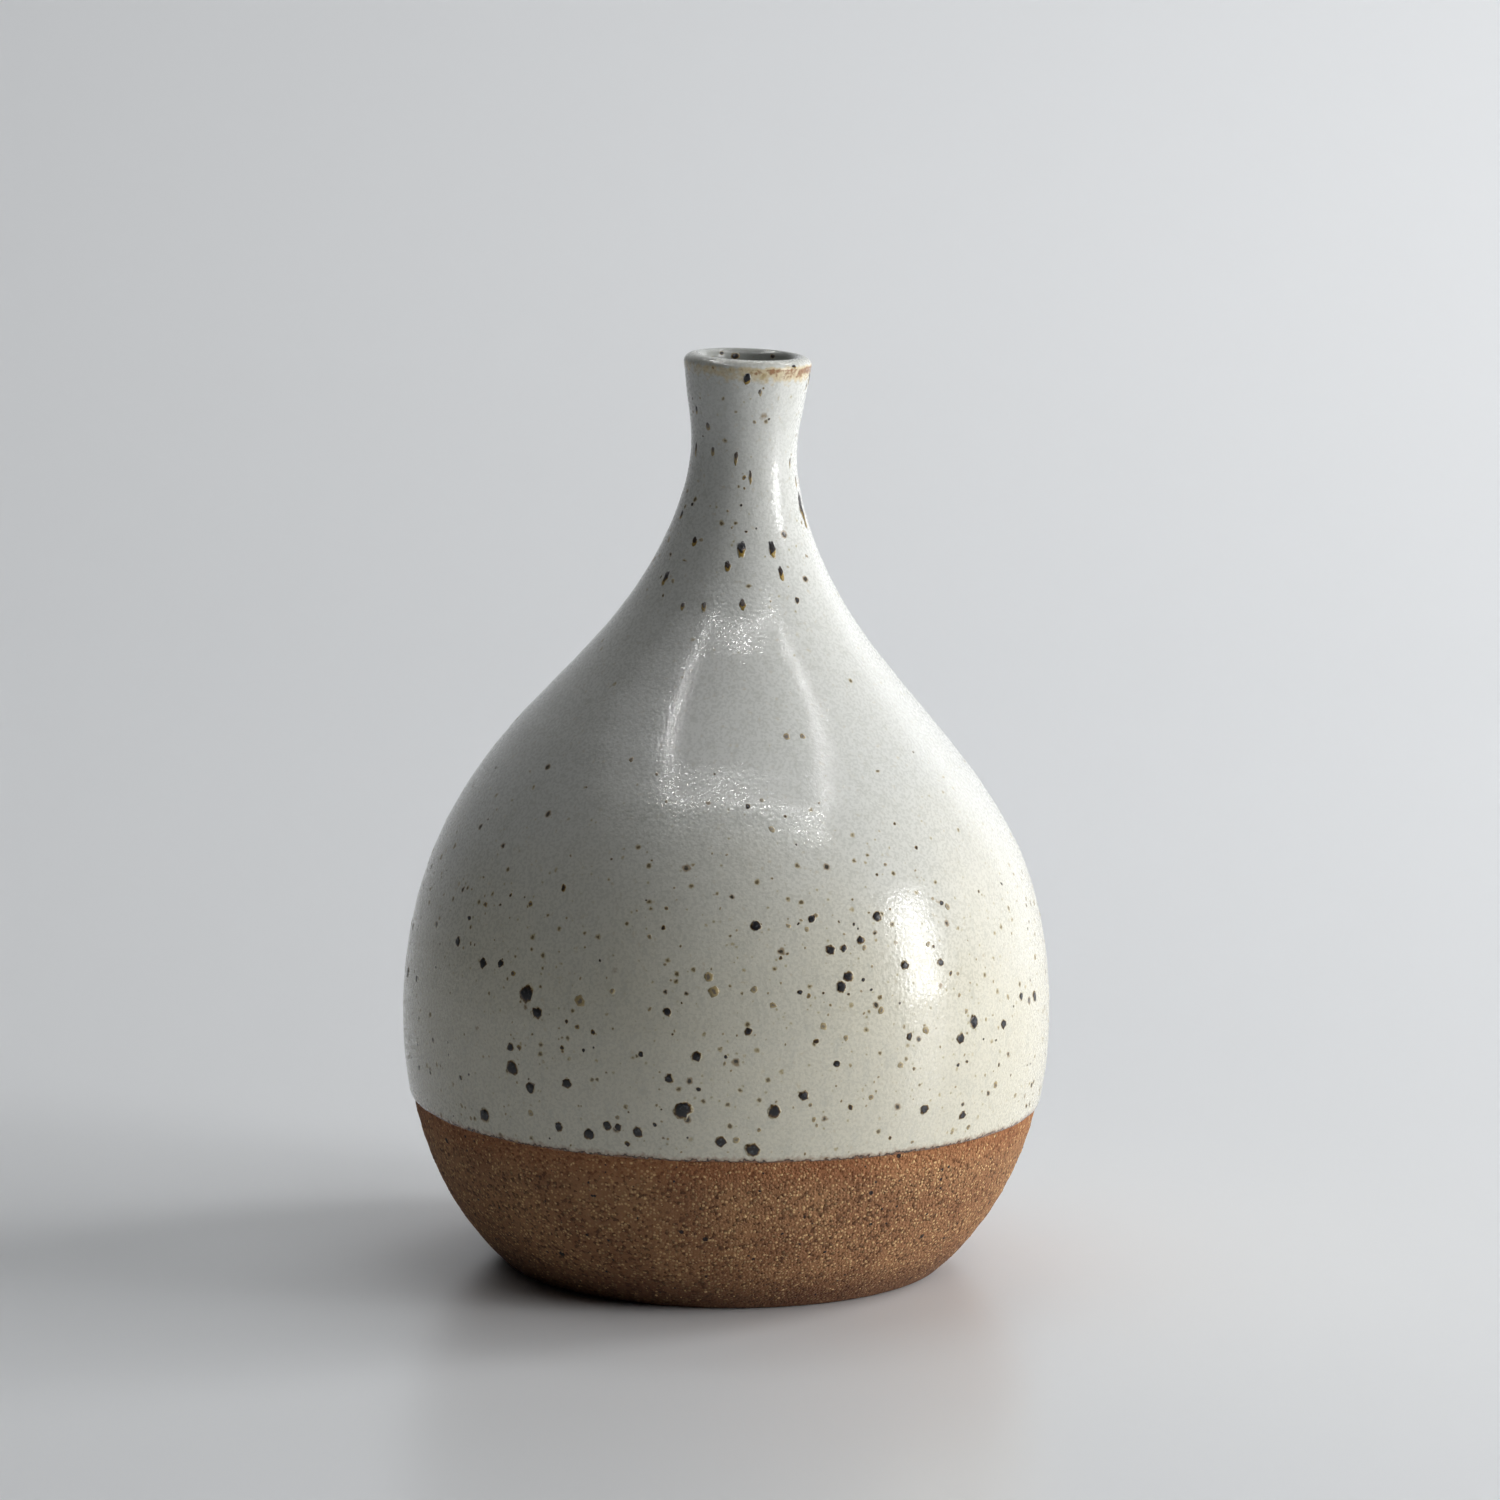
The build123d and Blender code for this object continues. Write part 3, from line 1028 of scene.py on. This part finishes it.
@dataclass
class OuterGlaze(TurnedPiece):
    """The glaze coat, from its rounded lower edge up over the lip to the crest."""

    edge_roll: float = 0.9 * MM
    edge_fade: float = 7 * MM
    row_step: float = 0.46 * MM
    back_step: float = 2.6 * MM
    lip: Lip = Lip()

    def near_edge(self, level: float) -> float:
        """Says how near a level is to the glaze line: 1 on it, 0 well above it."""
        return 1 - ease((level - GLAZE_LINE) / self.edge_fade)

    def section(self, glaze: SmoothCurve, clay: SmoothCurve) -> list[SectionPoint]:
        """Draws the coat's section as a closed loop.

        Args:
            glaze: the coat's outer radius against level.
            clay: the radius of the clay under it.

        Returns:
            The section's points, with the first one repeated at the end.
        """
        roll_top = GLAZE_LINE + self.edge_roll
        levels = [roll_top - self.edge_roll * math.cos(i / 9 * math.pi / 2) for i in range(9)]
        levels += spaced(roll_top, self.lip.level, self.row_step)[:-1]
        points = []
        for level in levels:
            depth = min(1.0, (level - GLAZE_LINE) / self.edge_roll)
            cover = math.sqrt(max(0.0, 1 - (1 - depth) ** 2))
            radius = clay.at(level) + (glaze.at(level) - clay.at(level)) * cover
            relief = ease((level - roll_top) / (2 * MM)) * ease((self.lip.level - level) / (2 * MM))
            brow = 0.85 * ease(1 - (self.lip.level - level) / (3.2 * MM))
            edge = self.near_edge(level)
            points.append(SectionPoint(radius, level, relief, edge, brow, clay.slope(level)))
        points += self.lip.quarter(glaze.at(self.lip.level), self.lip.glazed_rise, brow=0.85)
        points += self.lip.quarter(clay.at(self.lip.level), self.lip.clay_rise)[::-1]
        for level in spaced(self.lip.level, GLAZE_LINE, self.back_step)[1:-1]:
            edge = self.near_edge(level)
            points.append(SectionPoint(clay.at(level), level, edge=edge, slope=clay.slope(level)))
        return points + points[:1]

    def build(self, glaze: SmoothCurve, clay: SmoothCurve, finish: SpeckledGlaze) -> Piece:
        """Builds and dresses the coat.

        Args:
            glaze: the coat's outer radius against level.
            clay: the radius of the clay under it.
            finish: its finish.

        Returns:
            The finished piece.
        """
        piece = self.turn("outer_glaze_coat", self.section(glaze, clay), finish.outside())
        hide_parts("outer_glaze")
        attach(piece, "root")
        return piece


@dataclass
class InnerGlaze(TurnedPiece):
    """The poured lining, from the crest of the lip down over the floor."""

    thickness: float = 0.4 * MM
    neck_foot: float = 104 * MM
    neck_step: float = 0.5 * MM
    belly_step: float = 2 * MM
    back_step: float = 3 * MM
    lip: Lip = Lip()

    def section(self, glaze: SmoothCurve, clay: SmoothCurve) -> list[SectionPoint]:
        """Draws the lining's section as a loop from the crest and back to it.

        Args:
            glaze: the lining's radius against level.
            clay: the radius of the clay behind it.

        Returns:
            The section's points, with the first one repeated at the end.
        """
        top = self.lip.quarter(glaze.at(self.lip.level), self.lip.glazed_rise)
        points = top[::-1]
        lined_floor = FLOOR_LEVEL + self.thickness
        levels = spaced(self.lip.level, self.neck_foot, self.neck_step)[1:]
        levels += spaced(self.neck_foot, lined_floor + 0.4 * MM, self.belly_step)[1:]
        points += [SectionPoint(glaze.at(level), level) for level in levels]
        for share in (1.0, 0.5, 0.0):
            points.append(SectionPoint(FLAT_FLOOR_RADIUS * share, lined_floor))
        for share in (0.0, 0.5, 1.0):
            points.append(SectionPoint(FLAT_FLOOR_RADIUS * share, FLOOR_LEVEL))
        for level in spaced(FLOOR_LEVEL + 0.4 * MM, self.lip.level, self.back_step)[:-1]:
            points.append(SectionPoint(clay.at(level), level))
        points += self.lip.quarter(clay.at(self.lip.level), self.lip.clay_rise)
        return points + points[:1]

    def build(self, glaze: SmoothCurve, clay: SmoothCurve, finish: ShadedLiningGlaze) -> Piece:
        """Builds and dresses the lining.

        Args:
            glaze: the lining's radius against level.
            clay: the radius of the clay behind it.
            finish: its finish.

        Returns:
            The finished piece.
        """
        piece = self.turn("inner_glaze_lining", self.section(glaze, clay), finish.inside())
        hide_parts("inner_glaze")
        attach(piece, "root")
        return piece


class Blob(NamedTuple):
    """One flattened blob: its azimuth in degrees from the front, level and size in mm, and looks.

    Tone runs from 0, charcoal, to 1, brown. Stretch is its height over its width, turn its turn
    about the wall's normal and run how far its ochre ran down.
    """

    azimuth: float
    level: float
    size: float
    tone: float = 0.0
    stretch: float = 1.0
    turn: float = 0.0
    run: float = 0.0


@dataclass
class SeatedBlobs:
    """Blobs that are seated on a wall by Geometry Nodes."""

    tree: Tree
    segments: int
    rings: int
    proud: float
    ragged: float
    ragged_size: float
    axis: LeaningAxis = LeaningAxis()

    def seat(
        self, name: str, blobs: list[Blob], radius: SmoothCurve, wall: Piece, material: bpy.types.Material
    ) -> Piece:
        """Seats blobs on a wall.

        Args:
            name: the piece's name.
            blobs: where the blobs go.
            radius: the wall's radius against level.
            wall: the wall that they lie on.
            material: their finish.

        Returns:
            The finished piece.
        """
        places = [
            self.axis.place(blob.azimuth, radius.at(blob.level * MM), blob.level * MM) for blob in blobs
        ]
        mesh = bpy.data.meshes.new(f"{name}_points")
        mesh.from_pydata([tuple(place) for place in places], [], [])
        traits = {
            "size": [blob.size * MM for blob in blobs],
            "stretch": [math.sqrt(blob.stretch) for blob in blobs],
            "turn": [blob.turn for blob in blobs],
            "tone": [blob.tone for blob in blobs],
            "run": [blob.run for blob in blobs],
        }
        for trait, values in traits.items():
            mesh.attributes.new(trait, "FLOAT", "POINT").data.foreach_set("value", values)
        values = {
            "Wall": wall,
            "Segments": self.segments,
            "Rings": self.rings,
            "Proud": self.proud,
            "Ragged": self.ragged,
            "Ragged Size": self.ragged_size,
            "Material": material,
        }
        piece = run_tree(name, mesh, self.tree, values)
        face_out(piece)
        return piece


@dataclass
class IronSpots(SeatedBlobs):
    """The iron spots that show in the coat: the large ones listed, the rest scattered."""

    swell: float = 1.4
    count: int = 700
    seed: int = 11

    def placed(self) -> list[Blob]:
        """Lists the large spots, front first. Azimuths run to the right."""
        charcoal = [
            (-37, 47, 2.2), (-34.5, 44.5, 1.5), (-48.5, 50, 1.3), (-44, 50.5, 1.0), (-57, 52, 1.2),
            (-40, 39, 1.1), (-39.5, 36, 1.8), (-35.5, 33.5, 1.4), (-28, 35, 1.2), (-47, 28, 1.8),
            (-30, 28.5, 1.1), (-24, 28, 1.4), (-20.5, 29.5, 1.2), (-18.5, 29.4, 0.9), (-15, 29, 1.3),
            (-7, 32.5, 2.3), (-4.8, 40.3, 1.3), (-9.5, 37, 1.1), (-0.5, 28, 1.3), (5, 26.8, 1.8),
            (8.6, 32.4, 1.6), (13.7, 34.6, 1.2), (5.5, 58.5, 1.3), (16, 59.3, 1.0), (29, 59, 1.2),
            (19, 55, 1.2), (21.5, 55, 0.9), (25, 56, 1.0), (22, 51.2, 1.3), (20.5, 49.8, 1.4),
            (33.5, 52, 1.2), (41.5, 51.7, 1.0), (48.5, 42.5, 1.5), (45, 40.5, 1.3), (57.5, 41, 1.2),
            (64.5, 44, 1.1), (71, 43, 1.4), (37, 31, 1.3), (46.5, 29, 1.1), (19.5, 39, 0.9),
            (33.5, 42, 0.9), (4, 44, 0.9), (-10, 46.5, 1.0), (112, 38, 1.9), (128, 31, 1.5),
            (151, 47, 2.0), (176, 34, 1.6), (-163, 42, 1.8), (-140, 29, 1.5), (-121, 50, 1.7),
            (-98, 36, 1.6), (-80, 44, 1.4), (93, 52, 1.3),
        ]
        rusty = [
            (-26, 47, 1.3), (-3, 51.5, 1.1), (-2, 49.5, 1.2), (37, 42.5, 0.9), (16, 83, 0.8),
            (21, 83, 0.7), (140, 55, 1.2), (-110, 58, 1.1), (168, 60, 1.0),
        ]
        spots = [Blob(azimuth, level, size * self.swell) for azimuth, level, size in charcoal]
        spots += [Blob(azimuth, level, size * self.swell, tone=0.85) for azimuth, level, size in rusty]
        return spots

    def runny(self) -> list[Blob]:
        """Lists the neck's spots, most of them drawn out downwards by the running glaze."""
        drawn_out = [
            (1, 107.2, 1.15, 0.0, 1.9), (25.5, 107.3, 1.0, 0.1, 2.2), (-8, 104.9, 0.7, 0.4, 2.0),
            (29.5, 104.0, 0.7, 0.3, 2.6), (-52, 102.2, 0.75, 0.2, 2.6), (-65, 111, 0.6, 0.2, 2.2),
            (-38, 107.8, 0.7, 0.5, 1.7), (74, 112.3, 0.95, 0.15, 4.6), (3, 99.8, 0.7, 0.5, 1.9),
            (-18.5, 99.2, 0.7, 0.6, 1.9), (-31, 99.0, 0.6, 0.7, 1.8), (-64, 120.5, 0.5, 0.6, 3.4),
            (-42, 124.2, 0.8, 0.9, 1.3), (-35.5, 120.7, 0.45, 0.8, 2.6), (-8, 120, 0.5, 0.7, 3.2),
            (8, 117.4, 0.42, 0.7, 3.8), (60, 119.2, 0.35, 0.8, 4.0), (72, 116.3, 0.42, 0.8, 3.6),
            (-59, 126.4, 0.45, 0.2, 2.4), (13, 129.8, 0.4, 0.9, 2.2), (75, 130.3, 0.35, 0.6, 2.6),
            (0, 131.7, 1.0, 0.0, 1.35), (81, 131.3, 0.7, 0.0, 2.4), (47, 133.6, 0.65, 0.2, 1.2),
            (140, 108, 1.0, 0.1, 2.2), (172, 103, 0.9, 0.2, 2.0), (-150, 112, 0.8, 0.1, 2.6),
            (-110, 105, 0.9, 0.3, 2.0), (108, 119, 0.6, 0.4, 3.0), (-128, 121, 0.6, 0.5, 2.8),
            (158, 124, 0.5, 0.7, 2.4), (-172, 130, 0.8, 0.2, 1.6), (122, 99, 0.7, 0.4, 1.8),
        ]
        return [
            Blob(azimuth, level, size * self.swell * math.sqrt(stretch), tone, stretch, run=1.0)
            for azimuth, level, size, tone, stretch in drawn_out
        ]

    def scattered(self) -> list[Blob]:
        """Scatters the smaller spots, most of them in the lower third."""
        dice = random.Random(self.seed)
        spots = []
        for _ in range(self.count):
            level = 25.8 + 36 * dice.random() ** 1.15
            if dice.random() < 0.12:
                level = dice.uniform(58, 80)
            if dice.random() < 0.10:
                level = dice.uniform(97, 130)
            size = 0.42 + 0.75 * dice.random() ** 2.6
            tone = dice.choice((0.0, 0.3, 0.7, 0.9, 1.0, 1.0))
            stretch = dice.uniform(0.75, 1.45)
            spots.append(Blob(dice.uniform(-180, 180), level, size, tone, stretch, dice.uniform(0, 3)))
        return spots

    def build(self, radius: SmoothCurve, wall: Piece, glaze: SpeckledGlaze) -> Piece:
        """Builds and dresses the spots.

        Args:
            radius: the coat's radius against level.
            wall: the coat.
            glaze: the coat's finish.

        Returns:
            The finished piece.
        """
        blobs = self.placed() + self.runny() + self.scattered()
        piece = self.seat("iron_spots", blobs, radius, wall, IronSpotFinish().material(glaze))
        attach(piece, "root")
        return piece


@dataclass
class MouthSpots(SeatedBlobs):
    """The iron spots that show in the lining, just inside the lip."""

    def build(self, radius: SmoothCurve, wall: Piece, glaze: SpeckledGlaze) -> Piece:
        """Builds and dresses the spots.

        Args:
            radius: the lining's radius against level.
            wall: the lining.
            glaze: the lining's finish.

        Returns:
            The finished piece.
        """
        blobs = [
            Blob(-145, 133.7, 0.9), Blob(-164, 133.3, 1.3), Blob(147, 133.5, 0.9, tone=0.1),
            Blob(-120, 131.0, 0.6), Blob(176, 130.6, 0.5, tone=0.6), Blob(118, 129.5, 0.8),
            Blob(-30, 130.5, 0.8), Blob(20, 128.0, 0.6, tone=0.4), Blob(70, 131.0, 0.7),
            Blob(158, 127.5, 0.6), Blob(-150, 127.0, 0.7), Blob(-178, 124.0, 0.8, tone=0.2),
        ]
        piece = self.seat("mouth_spots", blobs, radius, wall, IronSpotFinish().material(glaze))
        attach(piece, "root")
        return piece


@dataclass
class Grog(SeatedBlobs):
    """Grains of grog that trimming dragged out of the bare clay."""

    count: int = 4200
    low: float = 1.2
    high: float = 24.2
    seed: int = 23

    def build(self, radius: SmoothCurve, wall: Piece, clay: StonewareClay) -> Piece:
        """Scatters, builds and dresses the grains.

        Args:
            radius: the clay's radius against level.
            wall: the body.
            clay: the body's finish.

        Returns:
            The finished piece.
        """
        dice = random.Random(self.seed)
        grains = []
        for _ in range(self.count):
            level = self.low + (self.high - self.low) * dice.random() ** 0.9
            size = 0.20 + 0.34 * dice.random() ** 2
            stretch = dice.uniform(0.6, 1.5)
            turn = dice.uniform(0, math.pi)
            grains.append(Blob(dice.uniform(-180, 180), level, size, dice.random(), stretch, turn))
        piece = self.seat("grog_grains", grains, radius, wall, clay.grains())
        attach(piece, "root")
        return piece


# ---------------------------------------------------------------- studio


@dataclass(frozen=True)
class StudioSweep:
    """A plain pale sweep: floor, slow curve and wall in one sheet."""

    half_width: float = 2.2
    front: float = -1.6
    curve_start: float = 0.55
    curve_radius: float = 0.55
    wall_top: float = 2.4
    grey: str = "#E1E3E5"
    roughness: float = 0.30

    def build(self) -> None:
        """Builds and dresses the sweep."""
        line = [(self.front, 0.0), (self.curve_start, 0.0)]
        for i in range(1, 25):
            turn = i / 24 * math.pi / 2
            rise = self.curve_radius * (1 - math.cos(turn))
            line.append((self.curve_start + self.curve_radius * math.sin(turn), rise))
        line.append((self.curve_start + self.curve_radius, self.wall_top))
        mesh = bpy.data.meshes.new("studio_sweep")
        sides = (-self.half_width, self.half_width)
        corners = [(side, depth, height) for depth, height in line for side in sides]
        faces = [(2 * i, 2 * i + 1, 2 * i + 3, 2 * i + 2) for i in range(len(line) - 1)]
        mesh.from_pydata(corners, [], faces)
        mesh.polygons.foreach_set("use_smooth", [True] * len(mesh.polygons))
        sweep = bpy.data.objects.new("studio_sweep", mesh)
        bpy.context.scene.collection.objects.link(sweep)
        material, _, shader = new_material("coated_paper_sweep")
        feed(shader, {"Base Color": linear(self.grey), "Roughness": self.roughness})
        mesh.materials.append(material)


@dataclass(frozen=True)
class SoftBox:
    """A rectangular light that aims at a point.

    Its lights_matt says whether it lights matt surfaces, and shines whether glossy ones mirror it.
    """

    name: str
    place: tuple[float, float, float]
    aim: tuple[float, float, float]
    width: float
    height: float
    watts: float
    lights_matt: bool = True
    shines: bool = True

    def build(self) -> None:
        """Builds the light."""
        lamp = bpy.data.lights.new(self.name, "AREA")
        lamp.shape = "RECTANGLE"
        lamp.size, lamp.size_y = self.width, self.height
        lamp.energy = self.watts
        light = bpy.data.objects.new(self.name, lamp)
        light.location = self.place
        towards = Vector(self.aim) - Vector(self.place)
        light.rotation_euler = towards.to_track_quat("-Z", "Y").to_euler()
        light.visible_camera = False
        light.visible_diffuse = self.lights_matt
        light.visible_glossy = self.shines
        bpy.context.scene.collection.objects.link(light)


@dataclass(frozen=True)
class Studio:
    """Plain soft light: a box at the right, a frame of strips overhead and a lit backdrop."""

    frame_left: float = -0.165
    frame_right: float = 0.29
    frame_front: float = -0.23
    frame_back: float = 0.25
    frame_height: float = 0.50
    strip: float = 0.006
    strip_watts: float = 0.45
    surroundings: str = "#B4B6B8"
    ambient: float = 0.004

    def strips(self) -> list[SoftBox]:
        """Lists the four strips of the overhead frame."""
        middle_x = (self.frame_left + self.frame_right) / 2
        middle_y = (self.frame_front + self.frame_back) / 2
        wide, deep = self.frame_right - self.frame_left, self.frame_back - self.frame_front
        places = {
            "strip_front": ((middle_x, self.frame_front), wide, self.strip),
            "strip_back": ((middle_x, self.frame_back), wide, self.strip),
            "strip_left": ((self.frame_left, middle_y), self.strip, deep),
            "strip_right": ((self.frame_right, middle_y), self.strip, deep),
        }
        boxes = []
        for name, ((x, y), width, depth) in places.items():
            place, aim = (x, y, self.frame_height), (x, y, 0.0)
            boxes.append(SoftBox(name, place, aim, width, depth, self.strip_watts, lights_matt=False))
        return boxes

    def boxes(self) -> list[SoftBox]:
        """Lists the soft boxes."""
        return [
            SoftBox("key", (0.845, -0.255, 0.25), (0, 0, 0.07), 0.24, 0.42, 3.0),
            SoftBox("key_broad", (1.05, -0.15, 0.27), (0, 0, 0.07), 0.9, 0.52, 6.2, shines=False),
            SoftBox("key_far", (1.7, 0.15, 0.9), (0, 0.1, 0), 0.7, 0.7, 2.4, shines=False),
            SoftBox("side_rear", (0.95, 0.35, 0.22), (0, 0, 0.06), 0.4, 0.4, 0.4),
            SoftBox("top_left", (-0.4, 0.1, 1.4), (0, 0.1, 0), 1.2, 1.2, 2.8),
            SoftBox("over_front", (0.25, -0.42, 0.7), (0.12, -0.30, 0), 0.4, 0.3, 0.6, shines=False),
            SoftBox("backdrop_right", (1.1, 0.45, 0.7), (0.3, 1.1, 0.25), 0.5, 0.5, 7.2, shines=False),
            SoftBox("backdrop_top", (0.2, 0.5, 1.3), (0.25, 1.1, 0.35), 0.7, 0.4, 2.6, shines=False),
            SoftBox("backdrop_high", (1.3, 0.3, 1.2), (0.5, 1.1, 0.6), 0.5, 0.5, 3.2, shines=False),
        ]

    def build(self) -> None:
        """Builds the lights and the surroundings."""
        for box in self.strips() + self.boxes():
            box.build()
        world = bpy.data.worlds.new("surroundings")
        world.use_nodes = True
        background = world.node_tree.nodes["Background"]
        feed(background, {"Color": linear(self.surroundings), "Strength": self.ambient})
        bpy.context.scene.world = world
        bpy.context.scene.view_settings.view_transform = "Standard"


@dataclass(frozen=True)
class Viewpoint:
    """Where the vase is seen from: a long lens, a little above the mouth, rolled a touch."""

    place: tuple[float, float, float] = (0.0030, -1.0392, 0.2541)
    down: float = math.radians(9.72)
    roll: float = math.radians(0.75)
    lens: float = 172.86
    sensor: float = 36.0

    def build(self) -> None:
        """Builds the camera and makes it the scene's own."""
        data = bpy.data.cameras.new("viewpoint")
        data.lens, data.sensor_width = self.lens, self.sensor
        camera = bpy.data.objects.new("viewpoint", data)
        camera.location = self.place
        tilt = Matrix.Rotation(math.pi / 2 - self.down, 3, "X")
        camera.rotation_euler = (tilt @ Matrix.Rotation(self.roll, 3, "Z")).to_euler()
        bpy.context.scene.collection.objects.link(camera)
        bpy.context.scene.camera = camera


# ---------------------------------------------------------------- the whole


def report(piece: Piece) -> None:
    """Logs a piece's name and how many triangles it has."""
    triangles = sum(len(face.vertices) - 2 for face in piece.data.polygons)
    log.info("%s: %d triangles", piece.name, triangles)


def main() -> None:
    """Builds the studio and the vase, piece by piece."""
    logging.basicConfig(level=logging.INFO, format="%(name)s %(message)s")
    Viewpoint().build()
    Studio().build()
    StudioSweep().build()

    callipers = Callipers()
    top = Lip().level - 0.1 * MM
    clay_out = callipers.gauge("stoneware_body", Side.OUTSIDE, low=3.3 * MM, high=top, count=44)
    clay_in = callipers.gauge("stoneware_body", Side.INSIDE, low=7.9 * MM, high=top, count=44)
    coat_out = callipers.gauge("outer_glaze", Side.OUTSIDE, low=25.0 * MM, high=top, count=38)
    lining_in = callipers.gauge("inner_glaze", Side.INSIDE, low=8.3 * MM, high=top, count=44)

    walls, blobs = thrown_wall_tree(), seated_blobs_tree()
    clay, glaze, lining_glaze = StonewareClay(), SpeckledGlaze(), ShadedLiningGlaze()
    thrown = Throwing(
        columns=288, ring_height=0.05 * MM, ring_spacing=3.1 * MM, unevenness=0.10 * MM, seed=3.0
    )
    body = StonewareBody(walls, thrown).build(clay_out, clay_in, clay)
    report(body)
    dipped = Throwing(
        columns=280,
        ring_height=0.03 * MM,
        ring_spacing=5.3 * MM,
        unevenness=0.12 * MM,
        edge_wave=0.45 * MM,
        seed=7.0,
    )
    coat = OuterGlaze(walls, dipped).build(coat_out, clay_out, glaze)
    report(coat)
    poured = Throwing(columns=160)
    lining = InnerGlaze(walls, poured).build(lining_in, clay_in, lining_glaze)
    report(lining)
    spots = IronSpots(blobs, segments=10, rings=6, proud=0.06, ragged=0.7, ragged_size=0.55 * MM)
    report(spots.build(coat_out, coat, glaze))
    mouth = MouthSpots(blobs, segments=10, rings=6, proud=0.06, ragged=0.7, ragged_size=0.5 * MM)
    report(mouth.build(lining_in, lining, lining_glaze))
    grog = Grog(blobs, segments=6, rings=4, proud=0.14, ragged=0.5, ragged_size=0.3 * MM)
    report(grog.build(clay_out, body, clay))


if __name__ == "__main__":
    main()
